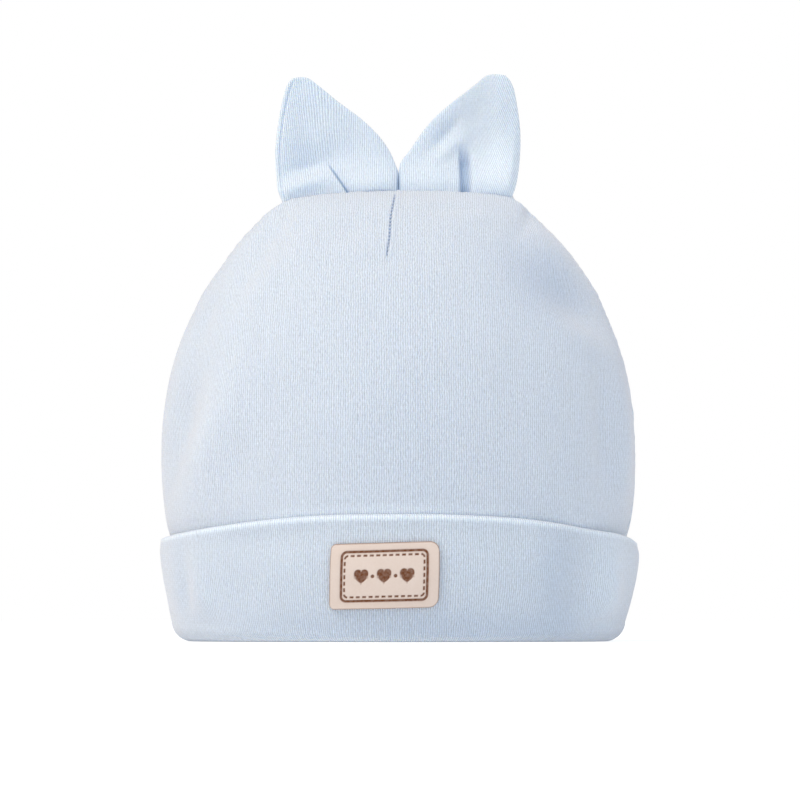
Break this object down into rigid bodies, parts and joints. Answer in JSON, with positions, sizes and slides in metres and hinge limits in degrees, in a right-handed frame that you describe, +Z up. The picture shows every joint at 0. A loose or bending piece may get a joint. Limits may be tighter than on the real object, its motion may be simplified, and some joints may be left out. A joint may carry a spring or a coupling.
{
  "type": "baby hat with ears",
  "caption": "Soft knitted baby hat, filled out, with a turned-up cuff, a small patch on it and two ears standing in the top seam.",
  "frame": {"origin": "on the surface the cuff's fold stands on, under the middle of the hat", "axes": "+Z up to the ears, the front with the patch faces -Y, +X to the viewer's right"},
  "size_m": [0.1286, 0.1126, 0.1529],
  "materials": {
    "crown_jersey": "fine cotton jersey, pale blue, two layers",
    "cuff_jersey": "fine cotton jersey, pale blue, turned up",
    "ear_jersey": "fine cotton jersey, pale blue, turned and pleated",
    "patch_leather": "matt beige imitation leather with an engraved brown border"
  },
  "bodies": {
    "root": {"crown_front": "crown_jersey", "crown_back": "crown_jersey", "cuff": "cuff_jersey", "ear_left": "ear_jersey", "ear_right": "ear_jersey", "patch": "patch_leather"}
  },
  "joints": []
}
